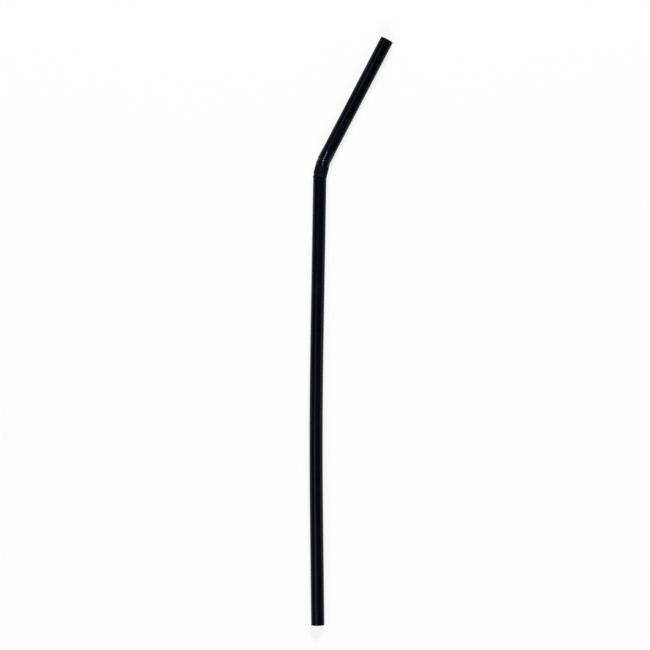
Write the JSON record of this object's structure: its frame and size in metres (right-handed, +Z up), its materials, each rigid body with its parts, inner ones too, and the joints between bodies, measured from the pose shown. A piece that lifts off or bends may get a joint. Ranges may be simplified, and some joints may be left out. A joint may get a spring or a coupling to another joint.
{
  "type": "drinking straw",
  "caption": "Slim round drinking straw whose folded flexible section holds the short mouth end at a shallow angle to the long leg.",
  "frame": {"origin": "on the surface it lies on, under the middle of its bounding box", "axes": "+Z up from that surface, +Y along the long leg towards the flexible section, +X to the side the mouth end leans to"},
  "size_m": [0.0312, 0.2206, 0.0054],
  "materials": {
    "cellulose": "satin"
  },
  "bodies": {
    "root": {"straw": "cellulose"}
  },
  "joints": []
}
